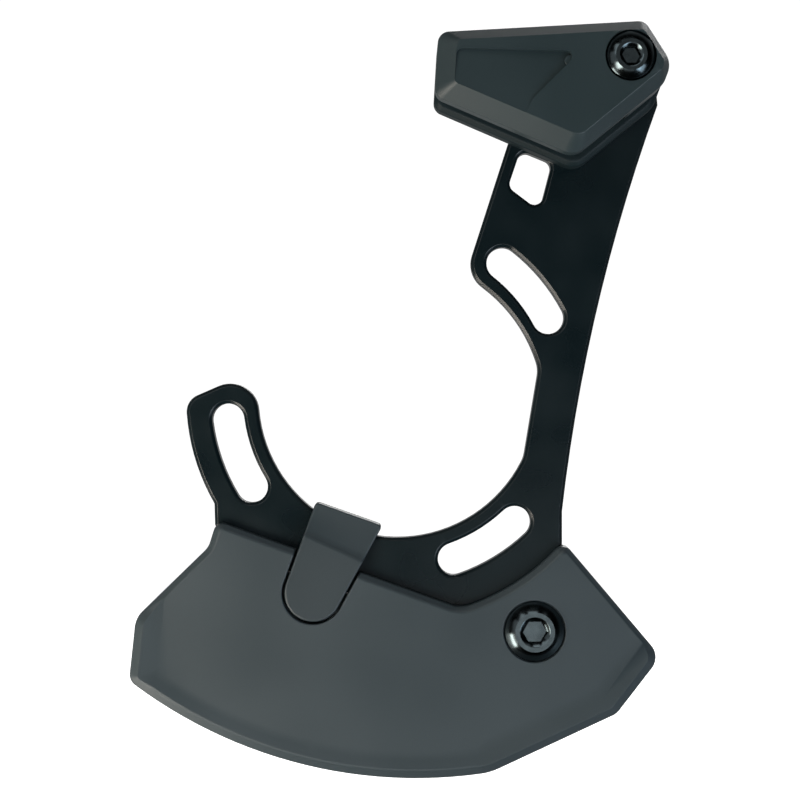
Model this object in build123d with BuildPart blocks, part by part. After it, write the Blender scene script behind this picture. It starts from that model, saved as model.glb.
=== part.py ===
# Chain guide with a bash guard, for one chainring on a frame with a three-bolt mount.
# X points forward on the bicycle, Z up and Y inboard. The origin is on the crank axis,
# in the plane of the plate's inboard face. A level is a distance outboard of that face.

import os
from math import acos, cos, degrees, radians, sin, sqrt, tan

from build123d import *

os.makedirs("parts", exist_ok=True)

# Frame mount: three arc slots for M6 bolts round the crank axis
slot_circle_r = 33.0
slot_w = 6.2
slot_sweep = 24.0
upper_slot_angle = 40.0
rear_slot_angle = 199.3
lower_slot_angle = -58.7

# Backplate
plate_t = 4.0
plate_chamfer = 0.6
inner_wall = 2.9
outer_wall = 4.8
slot_end_wall = 3.6
arm_end_angle = 113.5
arm_foot_angle = 210.0
flat_inset = 1.0
flat_tilt = 9.5
web_w = 8.55
flank_mid_angle = 36.0
flank_angle = 11.5
flank_swell = 0.25
mast_lean = 17.9
mast_rear_angle = 60.9
mast_foot_angle = -34.7
mast_foot_inset = 2.2
lobe_wall = 6.6
lobe_shoulder = 0.6
guard_overlap = 4.5
foot_cover = 1.0
foot_wall = 5.4
low_rear_angle = -76.5
corner_r = 5.5
arm_corner_r = 3.5
window_corners = ((23.8, 47.9), (29.9, 45.4), (27.5, 36.2), (21.4, 40.8))
window_corner_r = 1.7

# Upper guide: one six-cornered outline for both halves
guide_outline = ((7.6, 67.9), (45.9, 70.0), (50.9, 62.2), (49.4, 58.2), (33.0, 44.8), (6.9, 56.0))
guide_corner_radii = (2.2, 2.2, 4.0, 4.0, 4.0, 2.2)
inner_t = 5.5
inner_lip = 0.7
inner_front_lip = 1.7
inner_side_lip = 0.4
inner_lead_in = 0.9
inner_core_wall = 2.2
inner_core_floor = 2.0
channel_w = 8.5
cap_t = 6.5
cap_bevel_h = 2.8
cap_top_bevel = 2.0
cap_side_bevel = 1.4
cap_low_bevel = 2.3
cap_crest_radii = (1.0, 1.0, 1.5, 1.5, 2.5, 1.0)
cap_rear_bevel = 3.5
cap_top_wall = 3.0
cap_front_wall = 4.0
recess_tilt = 5.5
recess_margin = 1.6
recess_tip = (33.8, 63.9)
recess_waist = (24.8, 55.0)
recess_corner_r = 1.2
pip_at = (31.9, 62.3)
pip_r = 1.0
pip_sink = 0.45
cap_bolt_x = 43.1
cap_bolt_z = 63.2

# Bash guard
guard_skin = 3.0
guard_rim_h = 0.55
guard_rim_w = 2.1
guard_dish_w = 3.2
guard_dish_rise = 4.0
guard_chamfer = 1.7
guard_wall = 3.0
guard_rib_t = 2.0
guard_rib_count = 8
guard_rib_pitch = 12.0
guard_rib_first = -131.0
guard_top_gap = 1.3
guard_top_front_angle = -40.9
guard_top_mid_angle = -73.4
guard_rear_top = (-34.8, -23.6)
guard_rear_notch = (-36.4, -28.7)
guard_rear_high = (-50.4, -42.3)
guard_rear_low = (-51.7, -54.4)
guard_keel = (-10.0, -72.2)
guard_keel_front = (17.9, -72.1)
guard_front_low = (42.2, -60.8)
guard_front_tip = (50.7, -49.8)
guard_top_corner_r = 1.8
guard_notch_r = 4.0
guard_rear_high_r = 5.0
guard_rear_low_r = 2.5
guard_keel_r = 12.0
guard_front_r = 3.5
guard_top_mid_r = 6.0
lug_wall = 4.6
guard_bolt_r = 52.0
guard_bolt_angle = -59.6

# Clip over the plate's inner edge
clip_tilt = 24.5
clip_angle = -113.4
clip_end_inset = 1.35
clip_end_r = 5.5
clip_top_half_w = 6.8
clip_top_rise = 1.2
clip_corner_r = 0.8
clip_hook = 2.25
clip_low_t = 1.9
clip_step_from_top = 5.2
clip_step_run = 1.5
clip_gap = 0.5
clip_lip_t = 1.3
clip_lip_run = 2.6
clip_peg_r = 1.8
clip_peg_l = 3.2
clip_peg_shift = 1.6

# Fasteners
cap_thread_r = 2.5
cap_head_r = 4.6
cap_crown_r = 2.9
cap_cone_r = 2.1
cap_head_h = 2.6
cap_hex = 3.0
cap_head_sink = 1.3
sleeve_wall = 0.8
guard_thread_r = 3.0
guard_head_r = 5.75
guard_crown_r = 3.8
guard_cone_r = 2.8
guard_head_h = 2.7
guard_hex = 4.0
guard_head_sink = 0.8
head_rim_share = 0.25
dome_bulge = 0.45
screw_thread_r = 2.0
screw_head_r = 3.9
screw_bite = 3.6
screw_hex = 2.5
screw_places = ((29.5, 53.5), (38.5, 56.0))
hex_depth = 1.8

# Clearances
thread_gap = 0.05
bolt_gap = 0.3
head_gap = 0.15
seat_gap = 0.25
lip_gap = 0.1

# Worked-out sizes
shell_r = slot_circle_r - slot_w / 2 - inner_wall
arm_r = slot_circle_r + slot_w / 2 + outer_wall
flat_r = shell_r - flat_inset
guard_top_r = arm_r + guard_top_gap
plate_low_r = guard_top_r + guard_overlap
inner_face = plate_t + inner_t
cap_inner_face = inner_face + channel_w
cap_face = cap_inner_face + cap_t
guard_field = plate_t + guard_skin
guard_face = guard_field + guard_rim_h
cap_bolt_at = (cap_bolt_x, cap_bolt_z)
sleeve_bore_r = cap_thread_r + bolt_gap
sleeve_r = sleeve_bore_r + sleeve_wall
cap_seat = cap_face - cap_head_sink
guard_seat = guard_field - guard_head_sink


def polar(radius, angle):
    """Point at a radius and an angle in degrees round the crank axis."""
    return (radius * cos(radians(angle)), radius * sin(radians(angle)))


def crank_arc(radius, start, end):
    """Arc round the crank axis from one angle to another."""
    return CenterArc((0, 0), radius, start, end - start)


def level(height):
    """Sketch plane at a distance outboard of the mounting face, seen from outboard."""
    return Plane.XZ.offset(height)


def inset_corners(corners, insets):
    """Corners of a polygon whose edges each move inward, right of their run, by their own inset."""
    moved = []
    for place, corner in enumerate(corners):
        before = Vector(*corner) - Vector(*corners[place - 1])
        after = Vector(*corners[(place + 1) % len(corners)]) - Vector(*corner)
        in_before = Vector(before.Y, -before.X).normalized()
        in_after = Vector(after.Y, -after.X).normalized()
        one, two = insets[place - 1], insets[place]
        share = in_before.X * in_after.Y - in_before.Y * in_after.X
        moved.append((
            corner[0] + (one * in_after.Y - two * in_before.Y) / share,
            corner[1] + (two * in_before.X - one * in_after.X) / share,
        ))
    return moved


# Mast and arm corners of the plate
lobe_top = cap_bolt_z + lobe_wall
mast_foot = polar(arm_r - mast_foot_inset, mast_foot_angle)
mast_front_top = (cap_bolt_x + lobe_wall + lobe_shoulder, cap_bolt_z - lobe_wall)
mast_rear_low = polar(shell_r, mast_rear_angle)
mast_rise = cap_bolt_z - lobe_wall - mast_rear_low[1]
mast_rear_high = (mast_rear_low[0] + mast_rise * tan(radians(mast_lean)), mast_rear_low[1] + mast_rise)
flank_low = polar(flat_r / cos(radians(flank_angle + flat_tilt)), flank_angle)
flat_low_angle = -flat_tilt - degrees(acos(flat_r / shell_r))
rear_slot_end = Vector(*polar(slot_circle_r, rear_slot_angle - slot_sweep / 2))
arm_end_reach = rear_slot_end.dot(Vector(*polar(1, arm_end_angle))) + slot_w / 2 + slot_end_wall
arm_inner_angle = arm_end_angle + degrees(acos(arm_end_reach / shell_r))
arm_outer_angle = arm_end_angle + degrees(acos(arm_end_reach / arm_r))
foot_turn = (guard_rear_top[0] - foot_cover / 2, guard_rear_top[1] - foot_cover)
foot_low = (guard_rear_notch[0] + foot_wall, guard_rear_notch[1] - foot_cover)
low_front_angle = -degrees(acos(mast_foot[0] / plate_low_r))
guard_bolt_at = polar(guard_bolt_r, guard_bolt_angle)
lug_r = guard_thread_r + lug_wall
clip_end = polar(guard_top_r - clip_end_inset, clip_angle)
clip_up = Vector(sin(radians(clip_tilt)), cos(radians(clip_tilt)))
clip_depth = -clip_up.dot(Vector(*clip_end))
clip_offset = clip_up.cross(Vector(*clip_end)).length
clip_reach = clip_depth - sqrt((shell_r - clip_hook) ** 2 - clip_offset**2)
clip_peg_at = Vector(*clip_end) - clip_up * clip_peg_shift


def plate_outline():
    """The plate seen from outboard, without its slots and holes."""
    with BuildSketch() as outline:
        with BuildLine():
            ThreePointArc(mast_foot, polar(flat_r + web_w, -flat_tilt), mast_front_top)
            Polyline(
                mast_front_top,
                (cap_bolt_x + lobe_wall, cap_bolt_z),
                (cap_bolt_x + lobe_wall / 2, lobe_top),
                (cap_bolt_x - lobe_wall / 2, lobe_top),
                mast_rear_high,
                mast_rear_low,
            )
            ThreePointArc(mast_rear_low, polar(shell_r + flank_swell, flank_mid_angle), flank_low)
            Line(flank_low, polar(shell_r, flat_low_angle))
            crank_arc(shell_r, flat_low_angle, arm_inner_angle - 360)
            Line(polar(shell_r, arm_inner_angle), polar(arm_r, arm_outer_angle))
            crank_arc(arm_r, arm_outer_angle, arm_foot_angle)
            Polyline(polar(arm_r, arm_foot_angle), foot_turn, foot_low, polar(plate_low_r, low_rear_angle))
            crank_arc(plate_low_r, low_rear_angle, low_front_angle)
            Line(polar(plate_low_r, low_front_angle), mast_foot)
        make_face()
        for corner, radius in (
            (mast_rear_low, corner_r),
            (flank_low, corner_r),
            (polar(shell_r, flat_low_angle), corner_r),
            (polar(shell_r, arm_inner_angle), corner_r),
            (polar(arm_r, arm_outer_angle), arm_corner_r),
            ((cap_bolt_x + lobe_wall, cap_bolt_z), arm_corner_r),
            ((cap_bolt_x + lobe_wall / 2, lobe_top), arm_corner_r),
            (mast_rear_high, corner_r),
        ):
            fillet(outline.vertices().sort_by_distance(corner)[0], radius)
        lug_root = Vector(*polar(plate_low_r - lug_r / 2, guard_bolt_angle))
        lug_tip = Vector(*guard_bolt_at)
        with Locations((lug_root + lug_tip) * 0.5):
            SlotCenterToCenter((lug_tip - lug_root).length, 2 * lug_r, rotation=guard_bolt_angle)
    return outline.sketch


def arc_slot(angle):
    """A round-ended slot along the slot circle, centred at an angle."""
    with BuildSketch() as slot:
        with BuildLine():
            first, last = angle - slot_sweep / 2, angle + slot_sweep / 2
            outer = crank_arc(slot_circle_r + slot_w / 2, first, last)
            inner = crank_arc(slot_circle_r - slot_w / 2, first, last)
            for end, end_angle, turn in ((0, first, -90), (1, last, 90)):
                middle = Vector(*polar(slot_circle_r, end_angle))
                tip = middle + Vector(*polar(slot_w / 2, end_angle + turn))
                ThreePointArc(outer @ end, tip, inner @ end)
        make_face()
    return slot.sketch


def guide_face(insets, radii=guide_corner_radii):
    """The upper guide's outline with its edges moved inward, and rounded corners."""
    corners = inset_corners(guide_outline, insets)
    with BuildSketch() as face:
        with BuildLine():
            Polyline(*corners, close=True)
        make_face()
        for corner, radius in zip(corners, radii):
            fillet(face.vertices().sort_by_distance(corner)[0], radius)
    return face.sketch


def guard_outline():
    """The bash guard seen from outboard, with rounded corners."""
    front_top = polar(guard_top_r, guard_top_front_angle)
    mid_top = polar(guard_top_r, guard_top_mid_angle)
    with BuildSketch() as outline:
        with BuildLine():
            Polyline(guard_rear_top, guard_rear_notch, guard_rear_high, guard_rear_low)
            ThreePointArc(guard_rear_low, guard_keel, guard_keel_front)
            Polyline(guard_keel_front, guard_front_low, guard_front_tip, front_top)
            crank_arc(guard_top_r, guard_top_front_angle, guard_top_mid_angle)
            Line(mid_top, guard_rear_top)
        make_face()
        for corner, radius in (
            (guard_rear_top, guard_top_corner_r),
            (guard_rear_notch, guard_notch_r),
            (guard_rear_high, guard_rear_high_r),
            (guard_rear_low, guard_rear_low_r),
            (guard_keel_front, guard_keel_r),
            (guard_front_low, guard_front_r),
            (guard_front_tip, guard_front_r),
            (front_top, guard_top_corner_r),
            (mid_top, guard_top_mid_r),
        ):
            fillet(outline.vertices().sort_by_distance(corner)[0], radius)
    return outline.sketch


def guard_dish(margin):
    """The field inside the guard's lower rim: its ends run on past the two upper edges."""
    rear_rise = Vector(*guard_rear_high) - Vector(*guard_rear_low)
    front_rise = Vector(*guard_front_tip) - Vector(*guard_front_low)
    rear_end = Vector(*guard_rear_low) + rear_rise * guard_dish_rise
    front_end = Vector(*guard_front_low) + front_rise * guard_dish_rise
    with BuildSketch() as field:
        with BuildLine():
            Line(rear_end, guard_rear_low)
            ThreePointArc(guard_rear_low, guard_keel, guard_keel_front)
            Polyline(guard_keel_front, guard_front_low, front_end, rear_end)
        make_face()
        offset(amount=-margin, kind=Kind.INTERSECTION)
    return field.sketch


def strap_face(grow=0.0):
    """The clip's strap seen from outboard: a top that rises to the front, and a taper down to a round end."""
    with BuildSketch() as upright:
        with BuildLine():
            Polyline(
                (-clip_end_r, 0),
                (-clip_top_half_w, clip_reach),
                (clip_top_half_w, clip_reach + clip_top_rise),
                (clip_end_r, 0),
            )
            ThreePointArc((clip_end_r, 0), (0, -clip_end_r), (-clip_end_r, 0))
        make_face()
        fillet(upright.vertices().sort_by(Axis.Y)[-2:], clip_corner_r)
        if grow:
            offset(amount=grow)
    return Pos(*clip_end) * Rot(0, 0, -clip_tilt) * upright.sketch


def bolt_profile_plane(place):
    """Plane through a fastener's axis, with X across it and Y inboard."""
    return Plane(origin=(place[0], 0, place[1]), x_dir=(1, 0, 0), z_dir=(0, 0, 1))


def button_profile(thread_r, hex_w, seat, height, head_r, crown_r, cone_r):
    """Half section of a button-head bolt: shank, seat, sloped rim, flat crown and coned socket mouth."""
    top = seat + height
    rim = seat + height * head_rim_share
    mouth = top - cone_r + hex_w / 2
    slope = Vector(crown_r - head_r, rim - top)
    bulge = Vector(-slope.Y, slope.X).normalized() * dome_bulge
    shoulder = Vector((head_r + crown_r) / 2, -(rim + top) / 2) + bulge
    with BuildSketch() as half:
        with BuildLine():
            Polyline(
                (0, -mouth),
                (0, -lip_gap),
                (thread_r, -lip_gap),
                (thread_r, -seat),
                (head_r, -seat),
                (head_r, -rim),
                shoulder,
                (crown_r, -top),
                (cone_r, -top),
                (hex_w / 2, -mouth),
                close=True,
            )
        make_face()
    return half.sketch


def fastener_axis(place):
    """Line along Y through a fastener's place."""
    return Axis((place[0], 0, place[1]), (0, 1, 0))


def back_plane(place):
    """Plane on the mounting face that looks inboard, for features cut from behind."""
    return Plane(origin=(place[0], 0, place[1]), x_dir=(-1, 0, 0), z_dir=(0, 1, 0))


# Backplate: slots and window cut through, tapped for both bolts, countersunk from behind
with BuildPart() as backplate:
    with BuildSketch(level(0)):
        add(plate_outline())
        for angle in (upper_slot_angle, rear_slot_angle, lower_slot_angle):
            add(arc_slot(angle), mode=Mode.SUBTRACT)
        with BuildSketch(mode=Mode.SUBTRACT) as window:
            with BuildLine():
                Polyline(*window_corners, close=True)
            make_face()
            fillet(window.vertices(), window_corner_r)
    extrude(amount=plate_t)
    chamfer(backplate.faces().sort_by(Axis.Y)[0].edges(), plate_chamfer)
    for place, radius in ((cap_bolt_at, cap_thread_r), (guard_bolt_at, guard_thread_r)):
        with BuildSketch(level(0)):
            with Locations(place):
                Circle(radius + thread_gap)
        extrude(amount=plate_t, mode=Mode.SUBTRACT)
    for place in screw_places:
        with Locations(back_plane(place)):
            CounterSinkHole(
                screw_thread_r + bolt_gap,
                screw_head_r + lip_gap,
                depth=plate_t,
                counter_sink_angle=90,
            )
    with BuildSketch(level(0)):
        add(strap_face(lip_gap))
        Circle(shell_r + clip_lip_run + lip_gap, mode=Mode.INTERSECT)
    extrude(amount=clip_lip_t + 2 * lip_gap, mode=Mode.SUBTRACT)
backplate.part.label = "backplate"

# Inner half of the upper guide: a cored plate whose front edges lead the chain in
with BuildPart() as guide_inner:
    with BuildSketch(level(plate_t)):
        add(guide_face((0, 0, -inner_side_lip, -inner_front_lip, -inner_lip, 0)))
    extrude(amount=inner_t)
    lead_edges = guide_inner.faces().sort_by(Axis.Y)[0].edges()
    chamfer(lead_edges.filter_by(lambda edge: edge.center().Z < cap_bolt_z + inner_lip), inner_lead_in)
    with BuildSketch(level(plate_t)):
        add(guide_face([inner_core_wall] * 6, radii=()))
        with BuildLine():
            Polyline(
                (mast_rear_low[0] - inner_core_wall, mast_rear_low[1]),
                (mast_rear_high[0] - inner_core_wall, mast_rear_high[1]),
                (mast_rear_high[0] - inner_core_wall, lobe_top + inner_t),
                (mast_front_top[0] + inner_t, lobe_top + inner_t),
                (mast_front_top[0] + inner_t, mast_rear_low[1]),
                close=True,
            )
        make_face(mode=Mode.SUBTRACT)
    extrude(amount=inner_t - inner_core_floor, mode=Mode.SUBTRACT)
    with BuildSketch(level(plate_t)):
        with Locations(cap_bolt_at):
            Circle(sleeve_r + seat_gap)
    extrude(amount=inner_t, mode=Mode.SUBTRACT)
    with BuildSketch(level(plate_t)):
        with Locations(*screw_places):
            Circle(screw_thread_r + thread_gap)
    extrude(amount=screw_bite + bolt_gap, mode=Mode.SUBTRACT)
guide_inner.part.label = "guide_inner"

# Outer cap of the upper guide: bevelled all round, with a sloped recess, a top wall and a bolt boss
cap_bevels = (cap_top_bevel, cap_side_bevel, cap_side_bevel, cap_low_bevel, cap_rear_bevel, cap_rear_bevel)
with BuildPart() as guide_cap:
    with BuildSketch(level(cap_inner_face)):
        add(guide_face([0] * 6))
    extrude(amount=cap_t - cap_bevel_h)
    with BuildSketch(level(cap_face - cap_bevel_h)):
        add(guide_face([0] * 6))
    with BuildSketch(level(cap_face)):
        add(guide_face(cap_bevels, radii=cap_crest_radii))
    loft(ruled=True)
    with BuildSketch(level(inner_face)):
        add(guide_face([0] * 6))
        channel_insets = (cap_top_wall, cap_top_wall, cap_front_wall, -1, -1, -1)
        add(guide_face(channel_insets, radii=()), mode=Mode.SUBTRACT)
        with Locations(cap_bolt_at):
            Circle(sleeve_r + seat_gap + sleeve_r / 2)
    extrude(amount=channel_w)
    crest = inset_corners(guide_outline, cap_bevels)
    crest_rear, crest_front = Vector(*crest[5]), Vector(*crest[4])
    along = (crest_front - crest_rear).normalized()
    across = Vector(-along.Y, along.X)
    sink = radians(recess_tilt)
    recess_plane = Plane(
        origin=(crest_rear.X, -cap_face, crest_rear.Y),
        x_dir=(along.X, 0, along.Y),
        z_dir=(across.X * sin(sink), -cos(sink), across.Y * sin(sink)),
    )
    rear_margin = inset_corners(guide_outline, (cap_top_bevel + recess_margin, *cap_bevels[1:]))[0]
    recess_corners = []
    for corner in (rear_margin, recess_tip, recess_waist):
        reach = Vector(*corner) - crest_rear
        recess_corners.append((reach.dot(along), reach.dot(across) / cos(sink)))
    with BuildSketch(recess_plane) as recess:
        with BuildLine():
            Polyline((0, 0), *recess_corners, (recess_corners[2][0], 0), close=True)
        make_face()
        fillet(recess.vertices().sort_by_distance(recess_corners[1])[0], recess_corner_r)
        fillet(recess.vertices().sort_by_distance(recess_corners[0])[0], recess_corner_r)
    extrude(amount=cap_t, mode=Mode.SUBTRACT)
    with BuildSketch(level(cap_face - cap_bevel_h)):
        with Locations(pip_at):
            Circle(pip_r)
    extrude(amount=cap_bevel_h - pip_sink)
    for radius, bottom in ((sleeve_r + seat_gap, inner_face), (cap_head_r + head_gap, cap_seat)):
        with BuildSketch(level(bottom)):
            with Locations(cap_bolt_at):
                Circle(radius)
        extrude(amount=cap_face - bottom, mode=Mode.SUBTRACT)
guide_cap.part.label = "guide_cap"

# Sleeve between the plate and the cap bolt's head
with BuildPart() as cap_sleeve:
    with BuildSketch(level(plate_t)):
        with Locations(cap_bolt_at):
            Circle(sleeve_r)
            Circle(sleeve_bore_r, mode=Mode.SUBTRACT)
    extrude(amount=cap_seat - plate_t)
cap_sleeve.part.label = "cap_sleeve"

# Cap bolt: a button head with a hexagon socket
with BuildPart() as cap_bolt:
    with BuildSketch(bolt_profile_plane(cap_bolt_at)):
        cap_head = (cap_seat, cap_head_h, cap_head_r, cap_crown_r, cap_cone_r)
        add(button_profile(cap_thread_r, cap_hex, *cap_head))
    revolve(axis=fastener_axis(cap_bolt_at))
    with BuildSketch(level(cap_seat + cap_head_h - hex_depth)):
        with Locations(cap_bolt_at):
            RegularPolygon(cap_hex / 2, 6, major_radius=False)
    extrude(amount=hex_depth, mode=Mode.SUBTRACT)
cap_bolt.part.label = "cap_bolt"

# Countersunk screws that hold the inner half from behind
guide_screws = []
for number, place in enumerate(screw_places, start=1):
    with BuildPart() as guide_screw:
        with BuildSketch(bolt_profile_plane(place)):
            with BuildLine():
                Polyline(
                    (0, -lip_gap),
                    (screw_head_r, -lip_gap),
                    (screw_thread_r, -lip_gap - screw_head_r + screw_thread_r),
                    (screw_thread_r, -plate_t - screw_bite),
                    (0, -plate_t - screw_bite),
                    close=True,
                )
            make_face()
        revolve(axis=fastener_axis(place))
        with BuildSketch(level(lip_gap)):
            with Locations(place):
                RegularPolygon(screw_hex / 2, 6, major_radius=False)
        extrude(amount=hex_depth, mode=Mode.SUBTRACT)
    guide_screw.part.label = f"guide_screw_{number}"
    guide_screws.append(guide_screw.part)

# Bash guard: dished face inside a raised rim, ribbed back with a pocket for the plate
with BuildPart() as bash_guard:
    with BuildSketch(level(0)):
        add(guard_outline())
    extrude(amount=guard_face)
    chamfer(bash_guard.faces().sort_by(Axis.Y)[0].edges(), guard_chamfer)
    for height, margin in ((guard_face, guard_rim_w), (guard_field, guard_rim_w + guard_dish_w)):
        with BuildSketch(level(height)):
            add(guard_dish(margin))
    loft(ruled=True, mode=Mode.SUBTRACT)
    with BuildSketch(level(0)):
        add(plate_outline())
        offset(amount=seat_gap)
    extrude(amount=plate_t, mode=Mode.SUBTRACT)
    with BuildSketch(level(0)):
        add(guard_outline())
        offset(amount=-guard_wall)
        with BuildSketch(mode=Mode.SUBTRACT):
            add(plate_outline())
            offset(amount=guard_wall)
        add(strap_face(clip_gap + guard_wall / 2), mode=Mode.SUBTRACT)
        for rib in range(guard_rib_count):
            rib_angle = guard_rib_first + rib * guard_rib_pitch
            with Locations(polar(guard_bolt_r, rib_angle)):
                Rectangle(2 * guard_bolt_r, guard_rib_t, rotation=rib_angle, mode=Mode.SUBTRACT)
    extrude(amount=plate_t, mode=Mode.SUBTRACT)
    with BuildSketch(level(plate_t)):
        add(strap_face(clip_gap))
    extrude(amount=guard_face, mode=Mode.SUBTRACT)
    with BuildSketch(level(0)):
        with Locations(clip_peg_at):
            Circle(clip_peg_r + lip_gap)
    extrude(amount=plate_t, mode=Mode.SUBTRACT)
    for radius, bottom in ((guard_thread_r + bolt_gap, 0), (guard_head_r + head_gap, guard_seat)):
        with BuildSketch(level(bottom)):
            with Locations(guard_bolt_at):
                Circle(radius)
        extrude(amount=guard_face, mode=Mode.SUBTRACT)
bash_guard.part.label = "bash_guard"

# Guard bolt: the same head, one size up
with BuildPart() as guard_bolt:
    with BuildSketch(bolt_profile_plane(guard_bolt_at)):
        guard_head = (guard_seat, guard_head_h, guard_head_r, guard_crown_r, guard_cone_r)
        add(button_profile(guard_thread_r, guard_hex, *guard_head))
    revolve(axis=fastener_axis(guard_bolt_at))
    with BuildSketch(level(guard_seat + guard_head_h - hex_depth)):
        with Locations(guard_bolt_at):
            RegularPolygon(guard_hex / 2, 6, major_radius=False)
    extrude(amount=hex_depth, mode=Mode.SUBTRACT)
guard_bolt.part.label = "guard_bolt"

# Clip: a strap in the guard's notch that hooks over the plate's inner edge
with BuildPart() as guard_clip:
    with BuildSketch(level(plate_t)):
        add(strap_face())
    extrude(amount=guard_skin)
    clip_side = Plane(
        origin=(clip_end[0], 0, clip_end[1]),
        x_dir=(clip_up.X, 0, clip_up.Y),
        z_dir=(clip_up.Y, 0, -clip_up.X),
    )
    step_high = clip_reach - clip_step_from_top
    with BuildSketch(clip_side):
        with BuildLine():
            Polyline(
                (step_high - clip_step_run, guard_field),
                (step_high, plate_t + clip_low_t),
                (clip_reach + clip_top_rise, plate_t + clip_low_t),
                (clip_reach + clip_top_rise, guard_field),
                close=True,
            )
        make_face()
    extrude(amount=2 * clip_top_half_w, both=True, mode=Mode.SUBTRACT)
    for radius, top in ((shell_r - lip_gap, plate_t), (shell_r + clip_lip_run, lip_gap + clip_lip_t)):
        with BuildSketch(level(lip_gap)):
            add(strap_face())
            Circle(radius, mode=Mode.INTERSECT)
        extrude(amount=top - lip_gap)
    with BuildSketch(level(plate_t - clip_peg_l)):
        with Locations(clip_peg_at):
            Circle(clip_peg_r)
    extrude(amount=clip_peg_l)
guard_clip.part.label = "guard_clip"

for piece in (
    backplate.part,
    guide_inner.part,
    guide_cap.part,
    cap_sleeve.part,
    cap_bolt.part,
    *guide_screws,
    bash_guard.part,
    guard_bolt.part,
    guard_clip.part,
):
    export_step(piece, f"parts/{piece.label}.step")
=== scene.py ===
import math

import bmesh
import bpy
import numpy as np
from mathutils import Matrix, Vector
from mathutils.bvhtree import BVHTree


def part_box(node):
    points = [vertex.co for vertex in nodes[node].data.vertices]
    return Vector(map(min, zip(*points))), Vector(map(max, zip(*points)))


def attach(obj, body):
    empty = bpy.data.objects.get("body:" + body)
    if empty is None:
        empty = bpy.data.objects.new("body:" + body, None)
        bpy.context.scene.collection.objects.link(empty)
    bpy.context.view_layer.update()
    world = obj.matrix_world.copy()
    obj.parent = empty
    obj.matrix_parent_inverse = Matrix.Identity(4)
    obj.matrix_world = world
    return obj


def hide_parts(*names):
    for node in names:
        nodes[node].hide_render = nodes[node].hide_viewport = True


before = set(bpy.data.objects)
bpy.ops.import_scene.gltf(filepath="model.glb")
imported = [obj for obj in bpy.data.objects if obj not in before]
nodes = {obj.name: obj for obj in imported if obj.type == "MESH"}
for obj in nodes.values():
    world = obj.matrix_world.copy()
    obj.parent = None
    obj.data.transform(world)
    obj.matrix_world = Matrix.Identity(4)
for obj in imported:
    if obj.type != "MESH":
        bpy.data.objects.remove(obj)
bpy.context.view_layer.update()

# Lengths are in metres, turns between faces in degrees
mm = 0.001

# Edges rolled over on the mouldings, eased along the guard's dish, and just broken on the plate
moulded_roll = 0.30 * mm
cap_roll = 0.12 * mm
clip_roll = 0.35 * mm
dish_roll = 1.1 * mm
plate_break = 0.10 * mm
roll_segments = 3

# A sharp edge is rolled, and a crease is eased where the faces beside it are wide enough
sharp_turn = 24
crease_turn = 6
strip_width = 0.9 * mm
crease_room = 2.4

# Cuts in the cap's face stay crisp: near right angles, and all that lies this close to the bolt's head
cut_turn = 75
counterbore_gap = 1.7 * mm

# CAD triangles are joined into whole faces first, and slivers are joined after the roll
flat_turn = 0.05
merge_reach = 0.06 * mm
sliver = 0.002 * mm

# A stray face lies off the form by more than this share of the roll, or turns away from it
stray_share = 0.4
stray_facing = 0.4
smallest_face = 0.001 * mm * mm
stray_tries = 8
first_reach = 0.7

# Pattern sizes: pebble, grit and mottle are drawn a little coarser than life so that they show
nylon_pebble = 0.35 * mm
flow_cloud = 22 * mm
blast_grit = 0.3 * mm
sheen_patch = 9 * mm
oxide_mottle = 1.5 * mm
chain_scuff = 2.5 * mm

# How much of a fine pattern is added to the broad one, and how deep its relief is
pebble_share = 0.35
pebble_depth = 0.01 * mm
grit_share = 0.5
grit_depth = 0.005 * mm

# Button-head bolts: hexagon key, crown ring, coned mouth, and a shoulder from rim to crown
cap_bolt_sizes = {
    "thread_r": 2.5 * mm, "hex_w": 3.0 * mm, "head_h": 2.6 * mm, "rim_h": 1.0 * mm,
    "crown_r": 2.9 * mm, "cone_r": 2.1 * mm, "bulge": 0.1 * mm,
}
guard_bolt_sizes = {
    "thread_r": 3.0 * mm, "hex_w": 4.0 * mm, "head_h": 2.7 * mm, "rim_h": 0.7 * mm,
    "crown_r": 3.8 * mm, "cone_r": 2.8 * mm, "bulge": 0.1 * mm,
}
hex_depth = 1.8 * mm
edge_break = 0.12 * mm
thread_lead = 0.5 * mm
turn_steps = 144
shoulder_steps = 15
bolt_sharp_turn = 20
pole_merge = 0.0001 * mm

# Floor, backdrop and the room's light behind the part, by the Y of its direction
floor_level = -100 * mm
floor_half = 3000 * mm
floor_glow = 1.0
backdrop_glow = 1.05
behind_from = 0.0
behind_full = 0.4
behind_glow = 0.35

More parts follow.
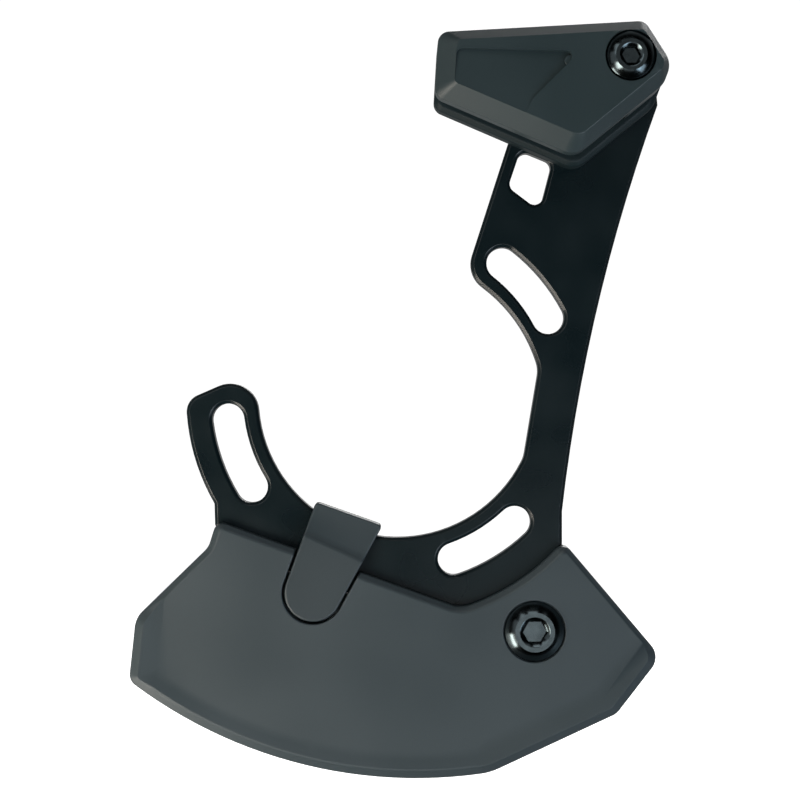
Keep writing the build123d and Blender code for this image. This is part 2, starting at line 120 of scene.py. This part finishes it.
# Lights: place, width and height, power in watts, colour; each glint shows in one bolt's crown
warm = "#fff6ea"
cool = "#e6f2ff"
white = "#ffffff"
studio_lights = {
    "low_left_near": ((-0.15, -0.025, -0.13), (0.03, 0.12), 0.15, warm),
    "low_left": ((-0.30, -0.34, -0.26), (0.25, 0.25), 0.75, warm),
    "front_left": ((-0.17, -0.17, -0.10), (0.12, 0.12), 0.33, warm),
    "front_below": ((0.0, -0.40, -0.35), (0.4, 0.3), 0.20, white),
    "front_right": ((0.30, -0.38, -0.25), (0.35, 0.35), 1.12, cool),
    "low_right": ((0.33, -0.20, -0.22), (0.2, 0.2), 0.30, cool),
    "left": ((-0.36, -0.22, 0.05), (0.3, 0.3), 0.12, white),
    "high_left": ((-0.23, -0.27, 0.25), (0.3, 0.3), 0.36, white),
    "high_right": ((0.25, -0.27, 0.25), (0.3, 0.3), 0.10, white),
    "top": ((0.0, -0.17, 0.32), (0.2, 0.1), 0.10, white),
    "guard_bolt_glint": ((0.055, -0.50, -0.095), (0.06, 0.06), 0.020, white),
    "cap_bolt_glint": ((0.093, -0.50, 0.131), (0.06, 0.06), 0.0045, white),
    "rear_high": ((0.15, 0.45, 0.345), (0.3, 0.3), 2.2, white),
}

# Camera: level, square to the plate, where the photo's perspective puts it
camera_at = (0.48 * mm, -454 * mm, -0.41 * mm)
camera_lens = 104.83
camera_sensor = 36


def linear(code):
    """An sRGB hex colour as linear red, green, blue and alpha."""
    parts = np.array([int(code[at:at + 2], 16) / 255 for at in (1, 3, 5)])
    low = parts / 12.92
    high = ((parts + 0.055) / 1.055) ** 2.4
    return (*np.where(parts <= 0.04045, low, high), 1.0)


def add_node(tree, kind, settings=None, links=None):
    """A shader node with its settings (sockets by name or number, or properties) and incoming links."""
    node = tree.nodes.new(kind)
    for key, value in (settings or {}).items():
        if isinstance(key, int) or key in node.inputs:
            node.inputs[key].default_value = value
        else:
            setattr(node, key, value)
    for key, source in (links or {}).items():
        tree.links.new(source, node.inputs[key])
    return node


def new_material(name):
    """An empty node material and its tree."""
    material = bpy.data.materials.new(name)
    material.use_nodes = True
    material.node_tree.nodes.clear()
    return material, material.node_tree


def moulded_nylon(name, deep, pale):
    """Glass-filled nylon, moulded against a spark-eroded tool: matte, finely pebbled, a little cloudy
    where the melt flowed, with a dull sheen on its rolled edges."""
    material, tree = new_material(name)
    place = add_node(tree, "ShaderNodeTexCoord").outputs["Object"]
    flow = add_node(tree, "ShaderNodeTexNoise",
                    {"Scale": 1 / flow_cloud, "Detail": 1.5},
                    {"Vector": place})
    pebble = add_node(tree, "ShaderNodeTexNoise",
                      {"Scale": 1 / nylon_pebble, "Detail": 2.0, "Roughness": 0.6},
                      {"Vector": place})
    tone = add_node(tree, "ShaderNodeMath",
                    {"operation": "MULTIPLY_ADD", 1: pebble_share},
                    {0: pebble.outputs["Fac"], 2: flow.outputs["Fac"]})
    blend = add_node(tree, "ShaderNodeMapRange",
                     {"From Min": 0.35, "From Max": 1.0},
                     {"Value": tone.outputs[0]})
    colour = add_node(tree, "ShaderNodeMix",
                      {"data_type": "RGBA", 6: linear(deep), 7: linear(pale)},
                      {0: blend.outputs["Result"]})
    gloss = add_node(tree, "ShaderNodeMapRange",
                     {"From Min": 0.3, "From Max": 0.7, "To Min": 0.42, "To Max": 0.5},
                     {"Value": flow.outputs["Fac"]})
    relief = add_node(tree, "ShaderNodeBump",
                      {"Strength": 0.25, "Distance": pebble_depth},
                      {"Height": pebble.outputs["Fac"]})
    shader = add_node(tree, "ShaderNodeBsdfPrincipled",
                      {"IOR": 1.5},
                      {"Base Color": colour.outputs[2], "Roughness": gloss.outputs["Result"],
                       "Normal": relief.outputs["Normal"]})
    add_node(tree, "ShaderNodeOutputMaterial", {}, {"Surface": shader.outputs["BSDF"]})
    return material


def polished_nylon(name):
    """Nylon, moulded against a polished tool so that the chain slides on it: nearly black, with a soft
    gloss and faint scuffs. The near-black tone is partly the liner's own and partly painted shade for
    the band under the cap."""
    material, tree = new_material(name)
    place = add_node(tree, "ShaderNodeTexCoord").outputs["Object"]
    scuff = add_node(tree, "ShaderNodeTexNoise",
                     {"Scale": 1 / chain_scuff, "Detail": 4.0, "Roughness": 0.65},
                     {"Vector": place})
    # Near-black tone: partly the liner's own, partly painted shade for the band under the cap
    colour = add_node(tree, "ShaderNodeMix",
                      {"data_type": "RGBA", 6: linear("#07171a"), 7: linear("#0c1f23")},
                      {0: scuff.outputs["Fac"]})
    gloss = add_node(tree, "ShaderNodeMapRange",
                     {"From Min": 0.3, "From Max": 0.7, "To Min": 0.5, "To Max": 0.62},
                     {"Value": scuff.outputs["Fac"]})
    shader = add_node(tree, "ShaderNodeBsdfPrincipled",
                      {"IOR": 1.48, "Specular IOR Level": 0.3},
                      {"Base Color": colour.outputs[2], "Roughness": gloss.outputs["Result"]})
    add_node(tree, "ShaderNodeOutputMaterial", {}, {"Surface": shader.outputs["BSDF"]})
    return material


def black_anodising(name):
    """Aluminium plate, fine-blasted, then dyed and sealed black: a near-black satin with a faint cool
    cast, an even grit and a slightly uneven sheen."""
    material, tree = new_material(name)
    place = add_node(tree, "ShaderNodeTexCoord").outputs["Object"]
    grit = add_node(tree, "ShaderNodeTexNoise",
                    {"Scale": 1 / blast_grit, "Detail": 2.0},
                    {"Vector": place})
    haze = add_node(tree, "ShaderNodeTexNoise",
                    {"Scale": 1 / sheen_patch, "Detail": 1.0},
                    {"Vector": place})
    tone = add_node(tree, "ShaderNodeMath",
                    {"operation": "MULTIPLY_ADD", 1: grit_share},
                    {0: grit.outputs["Fac"], 2: haze.outputs["Fac"]})
    blend = add_node(tree, "ShaderNodeMapRange",
                     {"From Min": 0.35, "From Max": 1.15},
                     {"Value": tone.outputs[0]})
    colour = add_node(tree, "ShaderNodeMix",
                      {"data_type": "RGBA", 6: linear("#041216"), 7: linear("#08181c")},
                      {0: blend.outputs["Result"]})
    gloss = add_node(tree, "ShaderNodeMapRange",
                     {"From Min": 0.3, "From Max": 0.7, "To Min": 0.26, "To Max": 0.34},
                     {"Value": haze.outputs["Fac"]})
    relief = add_node(tree, "ShaderNodeBump",
                      {"Strength": 0.15, "Distance": grit_depth},
                      {"Height": grit.outputs["Fac"]})
    shader = add_node(tree, "ShaderNodeBsdfPrincipled",
                      {"IOR": 1.5},
                      {"Base Color": colour.outputs[2], "Roughness": gloss.outputs["Result"],
                       "Normal": relief.outputs["Normal"]})
    add_node(tree, "ShaderNodeOutputMaterial", {}, {"Surface": shader.outputs["BSDF"]})
    return material


def black_oxide_steel(name):
    """Turned steel with an oiled black-oxide skin: a dark mirror with a smoky, mottled gloss."""
    material, tree = new_material(name)
    place = add_node(tree, "ShaderNodeTexCoord").outputs["Object"]
    mottle = add_node(tree, "ShaderNodeTexNoise",
                      {"Scale": 1 / oxide_mottle, "Detail": 3.0},
                      {"Vector": place})
    colour = add_node(tree, "ShaderNodeMix",
                      {"data_type": "RGBA", 6: linear("#4c5659"), 7: linear("#566064")},
                      {0: mottle.outputs["Fac"]})
    gloss = add_node(tree, "ShaderNodeMapRange",
                     {"From Min": 0.3, "From Max": 0.7, "To Min": 0.14, "To Max": 0.2},
                     {"Value": mottle.outputs["Fac"]})
    shader = add_node(tree, "ShaderNodeBsdfPrincipled",
                      {"Metallic": 1.0},
                      {"Base Color": colour.outputs[2], "Roughness": gloss.outputs["Result"]})
    add_node(tree, "ShaderNodeOutputMaterial", {}, {"Surface": shader.outputs["BSDF"]})
    return material


def placed(name, data):
    """A new object in the scene, at the origin."""
    thing = bpy.data.objects.new(name, data)
    bpy.context.scene.collection.objects.link(thing)
    return thing


def dress(piece, name, finish):
    """Put a finished piece in the place of its CAD node."""
    piece.data.materials.clear()
    piece.data.materials.append(finish)
    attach(piece, "root")
    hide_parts(name)


def joined_form(name):
    """A copy of a node's triangles, merged into whole faces."""
    form = bmesh.new()
    form.from_mesh(nodes[name].data)
    bmesh.ops.remove_doubles(form, verts=form.verts, dist=merge_reach)
    turn = math.radians(flat_turn)
    bmesh.ops.dissolve_limit(form, angle_limit=turn, verts=form.verts, edges=form.edges)
    return form


def face_width(face, edge):
    """How far a face reaches from one of its edges, on average."""
    return face.calc_area() / edge.calc_length()


def stays_crisp(edge, turn, counterbore):
    """True for an edge by the bolt's counterbore, or a near right angle in the cap's outer face."""
    if not counterbore:
        return False
    axis_x, axis_z, reach, face_level = counterbore
    ends = [vertex.co for vertex in edge.verts]
    at_bolt = all(math.hypot(end.x - axis_x, end.z - axis_z) < reach for end in ends)
    in_face = all(abs(end.y - face_level) < merge_reach for end in ends)
    return at_bolt or (in_face and turn > cut_turn)


def mark_edges(form, roll, crease_roll, counterbore):
    """Weigh each sharp outer edge for the roll, and each shallow crease between wide faces for its own.
    Sharp edges that get no roll are marked sharp, and so are creases where none are eased."""
    weight = form.edges.layers.float.new("bevel_weight_edge")
    sharp = form.edges.layers.bool.new("sharp_edge")
    widest = max(roll, crease_roll)
    for edge in form.edges:
        turn = math.degrees(edge.calc_face_angle(0.0))
        narrow = min(face_width(face, edge) for face in edge.link_faces)
        if turn > sharp_turn:
            rolled = edge.is_convex and not stays_crisp(edge, turn, counterbore)
            edge[weight] = roll / widest if rolled else 0.0
            edge[sharp] = not rolled
        elif turn > crease_turn and narrow > max(strip_width, crease_room * crease_roll):
            edge[weight] = crease_roll / widest
            edge[sharp] = not crease_roll
    return weight, sharp


def stray_places(piece, surface, roll):
    """Middles of the piece's triangles that leave the form or turn away from it."""
    rolled = piece.evaluated_get(bpy.context.evaluated_depsgraph_get()).to_mesh()
    rolled.calc_loop_triangles()
    points = np.empty(len(rolled.vertices) * 3)
    rolled.vertices.foreach_get("co", points)
    triangles = np.empty(len(rolled.loop_triangles) * 3, int)
    rolled.loop_triangles.foreach_get("vertices", triangles)
    corners = points.reshape(-1, 3)[triangles.reshape(-1, 3)]
    crossed = np.cross(corners[:, 1] - corners[:, 0], corners[:, 2] - corners[:, 0])
    area = np.linalg.norm(crossed, axis=1) / 2
    broad = area > smallest_face
    middles = corners.mean(axis=1)[broad]
    facing = crossed[broad] / (2 * area[broad][:, None])
    hits = [surface.find_nearest(middle) for middle in middles]
    away = np.array([hit[3] for hit in hits]) > stray_share * roll
    turned = (facing * np.array([hit[1] for hit in hits])).sum(axis=1) < stray_facing
    return middles[away | turned]


def settle_roll(piece, form, surface, roll, weight, sharp):
    """Write the form into the piece and take the roll off edges near stray faces, one roll further each
    time, until no stray is left or the tries are used up."""
    form.verts.ensure_lookup_table()
    corners = np.array([vertex.co for vertex in form.verts])
    for attempt in range(stray_tries):
        form.to_mesh(piece.data)
        piece.data.shade_smooth()
        piece.data.update()
        strays = stray_places(piece, surface, roll)
        if not len(strays):
            break
        gaps = np.linalg.norm(strays[:, None, :] - corners[None, :, :], axis=2)
        near = np.nonzero((gaps < roll * (attempt + first_reach)).any(axis=0))[0]
        for index in np.union1d(near, gaps.argmin(axis=1)):
            for edge in form.verts[int(index)].link_edges:
                edge[weight] = 0.0
                edge[sharp] = edge.calc_face_angle(0.0) > math.radians(sharp_turn)


def rounded_copy(name, roll, crease_roll=0.0, counterbore=None):
    """The node's own form with sharp outer edges rolled over, and shallow creases eased if asked."""
    form = joined_form(name)
    surface = BVHTree.FromBMesh(form)
    weight, sharp = mark_edges(form, roll, crease_roll, counterbore)
    bmesh.ops.triangulate(form, faces=[face for face in form.faces if len(face.verts) > 4])
    piece = placed(name + "_finished", bpy.data.meshes.new(name + "_finished"))
    bevel = piece.modifiers.new("rolled_edges", "BEVEL")
    bevel.width = max(roll, crease_roll)
    bevel.segments = roll_segments
    bevel.limit_method = "WEIGHT"
    bevel.use_clamp_overlap = False
    bevel.loop_slide = False
    bevel.face_strength_mode = "FSTR_ALL"
    settle_roll(piece, form, surface, roll, weight, sharp)
    form.free()
    weld = piece.modifiers.new("joined_slivers", "WELD")
    weld.merge_threshold = sliver
    shade = piece.modifiers.new("even_faces", "WEIGHTED_NORMAL")
    shade.mode = "FACE_AREA"
    shade.weight = 100
    shade.keep_sharp = True
    shade.use_face_influence = True
    return piece


def grid_piece(name, points, sharp_from):
    """A mesh from a grid of points that closes on itself round the second axis."""
    rows, columns = points.shape[:2]
    row, column = np.meshgrid(np.arange(rows - 1), np.arange(columns), indexing="ij")
    following = (column + 1) % columns
    faces = np.stack([
        row * columns + column,
        row * columns + following,
        (row + 1) * columns + following,
        (row + 1) * columns + column,
    ], axis=-1).reshape(-1, 4)
    mesh = bpy.data.meshes.new(name)
    mesh.from_pydata(points.reshape(-1, 3).tolist(), [], faces.tolist())
    form = bmesh.new()
    form.from_mesh(mesh)
    bmesh.ops.remove_doubles(form, verts=form.verts, dist=pole_merge)
    bmesh.ops.recalc_face_normals(form, faces=form.faces)
    form.to_mesh(mesh)
    form.free()
    mesh.shade_smooth()
    mesh.set_sharp_from_angle(angle=math.radians(sharp_from))
    return placed(name, mesh)


def button_bolt(name, thread_r, hex_w, head_h, rim_h, crown_r, cone_r, bulge):
    """A section (radius, height) carried once round the bolt's axis: pole, shank, seat, shoulder, crown
    ring and cone. The shoulder is the straight line from rim to crown, pushed outward by four times the
    bulge, times the share of the way, times the share left. Below the cone each radius is the hexagon's
    own, half its width over the cosine of the angle to the nearest flat's middle."""
    low, high = (np.array(corner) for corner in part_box(name))
    middle = (low + high) / 2
    head_r = (high[0] - low[0]) / 2
    end, top = -high[1], -low[1]
    seat = top - head_h
    rim = seat + rim_h
    turn = np.arange(turn_steps) * 2 * math.pi / turn_steps
    half_flat = math.pi / 6
    hexagon = hex_w / 2 / np.cos(turn % (2 * half_flat) - half_flat)
    slope = np.array([crown_r - head_r, top - rim])
    outward = np.array([slope[1], -slope[0]]) / np.linalg.norm(slope)
    share = np.linspace(0, 1, shoulder_steps)[:, None]
    shoulder = np.array([head_r, rim]) + share * slope + 4 * share * (1 - share) * bulge * outward
    section = np.vstack([
        [(0, end), (thread_r - thread_lead, end), (thread_r, end + thread_lead), (thread_r, seat)],
        [(head_r - edge_break, seat), (head_r, seat + edge_break)],
        shoulder,
        [(cone_r + edge_break, top), (cone_r, top - edge_break / 2)],
    ])
    radius = np.repeat(section[:, :1], turn_steps, axis=1)
    height = np.repeat(section[:, 1:], turn_steps, axis=1)
    mouth = top - edge_break / 2 - (cone_r - hexagon)
    floor = np.full(turn_steps, top - hex_depth)
    radius = np.vstack([radius, hexagon, hexagon, 0 * hexagon])
    height = np.vstack([height, mouth, floor, floor])
    points = np.stack([
        middle[0] + radius * np.cos(turn),
        -height,
        middle[2] + radius * np.sin(turn),
    ], axis=-1)
    return grid_piece(name + "_turned", points, bolt_sharp_turn)


def pale_floor():
    """A plain pale floor that only the camera sees."""
    signs = ((-1, -1), (1, -1), (1, 1), (-1, 1))
    corners = [(x * floor_half, y * floor_half, floor_level) for x, y in signs]
    mesh = bpy.data.meshes.new("floor")
    mesh.from_pydata(corners, [], [(0, 1, 2, 3)])
    finish, tree = new_material("pale_floor")
    shader = add_node(tree, "ShaderNodeBsdfPrincipled",
                      {"Base Color": linear("#f2f2f0"), "Roughness": 0.9,
                       "Emission Color": linear(white), "Emission Strength": floor_glow})
    add_node(tree, "ShaderNodeOutputMaterial", {}, {"Surface": shader.outputs["BSDF"]})
    mesh.materials.append(finish)
    floor = placed("floor", mesh)
    floor.visible_diffuse = False
    floor.visible_glossy = False
    floor.visible_shadow = False
    return floor


def studio_world():
    """A white backdrop for the camera, and for all else a dim light from behind the part."""
    world = bpy.data.worlds.new("studio")
    bpy.context.scene.world = world
    world.use_nodes = True
    tree = world.node_tree
    tree.nodes.clear()
    seen = add_node(tree, "ShaderNodeLightPath")
    plain = add_node(tree, "ShaderNodeBackground", {"Color": linear(white), "Strength": backdrop_glow})
    aim = add_node(tree, "ShaderNodeTexCoord")
    split = add_node(tree, "ShaderNodeSeparateXYZ", {}, {"Vector": aim.outputs["Generated"]})
    behind = add_node(tree, "ShaderNodeMapRange",
                      {"From Min": behind_from, "From Max": behind_full, "To Max": behind_glow},
                      {"Value": split.outputs["Y"]})
    room = add_node(tree, "ShaderNodeBackground",
                    {"Color": linear(white)},
                    {"Strength": behind.outputs[0]})
    both = add_node(tree, "ShaderNodeMixShader", {},
                    {0: seen.outputs["Is Camera Ray"], 1: room.outputs[0], 2: plain.outputs[0]})
    add_node(tree, "ShaderNodeOutputWorld", {}, {"Surface": both.outputs[0]})


def soft_light(name, at, size, power, colour):
    """An area light at a point, turned to face the object."""
    data = bpy.data.lights.new(name, "AREA")
    data.shape = "RECTANGLE"
    data.size, data.size_y = size
    data.energy = power
    data.color = linear(colour)[:3]
    light = placed(name, data)
    light.location = at
    light.rotation_euler = (-Vector(at)).to_track_quat("-Z", "Y").to_euler()
    light.visible_camera = False


# Finishes; the cap's and the liner's darker tones are partly painted shade
plate_finish = black_anodising("black_anodised_aluminium")
# The cap's nylon is drawn darker than the guard's: partly its own tone, partly painted shade for its
# place further from the lower-left light
guide_nylon_and_shade = moulded_nylon("glass_filled_nylon_with_painted_shade", "#223033", "#2a383b")
guard_finish = moulded_nylon("grey_glass_filled_nylon", "#313b3f", "#394347")
clip_finish = moulded_nylon("dark_grey_glass_filled_nylon", "#2a3438", "#323c40")
# The liner's near-black nylon is partly painted shade for the band under the cap
liner_nylon_and_shade = polished_nylon("polished_nylon_with_painted_shade")
steel = black_oxide_steel("black_oxide_steel")

# Pieces: mouldings and plate with rolled edges, turned bolts, and steel on the CAD's own small parts
bolt_low, bolt_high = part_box("cap_bolt")
cap_counterbore = (
    (bolt_low[0] + bolt_high[0]) / 2,
    (bolt_low[2] + bolt_high[2]) / 2,
    (bolt_high[0] - bolt_low[0]) / 2 + counterbore_gap,
    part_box("guide_cap")[0][1],
)
dress(rounded_copy("guide_cap", cap_roll, counterbore=cap_counterbore), "guide_cap", guide_nylon_and_shade)
dress(rounded_copy("guide_inner", moulded_roll), "guide_inner", liner_nylon_and_shade)
dress(rounded_copy("bash_guard", moulded_roll, dish_roll), "bash_guard", guard_finish)
dress(rounded_copy("guard_clip", clip_roll), "guard_clip", clip_finish)
dress(rounded_copy("backplate", plate_break), "backplate", plate_finish)
dress(button_bolt("cap_bolt", **cap_bolt_sizes), "cap_bolt", steel)
dress(button_bolt("guard_bolt", **guard_bolt_sizes), "guard_bolt", steel)
for name in ("cap_sleeve", "guide_screw_1", "guide_screw_2"):
    nodes[name].data.materials.clear()
    nodes[name].data.materials.append(steel)

# Studio
pale_floor()
studio_world()
for name, settings in studio_lights.items():
    soft_light(name, *settings)

# Camera
camera_data = bpy.data.cameras.new("camera")
camera_data.lens = camera_lens
camera_data.sensor_width = camera_sensor
camera = placed("camera", camera_data)
camera.location = camera_at
camera.rotation_euler = (math.radians(90), 0, 0)
bpy.context.scene.camera = camera
bpy.context.scene.view_settings.view_transform = "Standard"
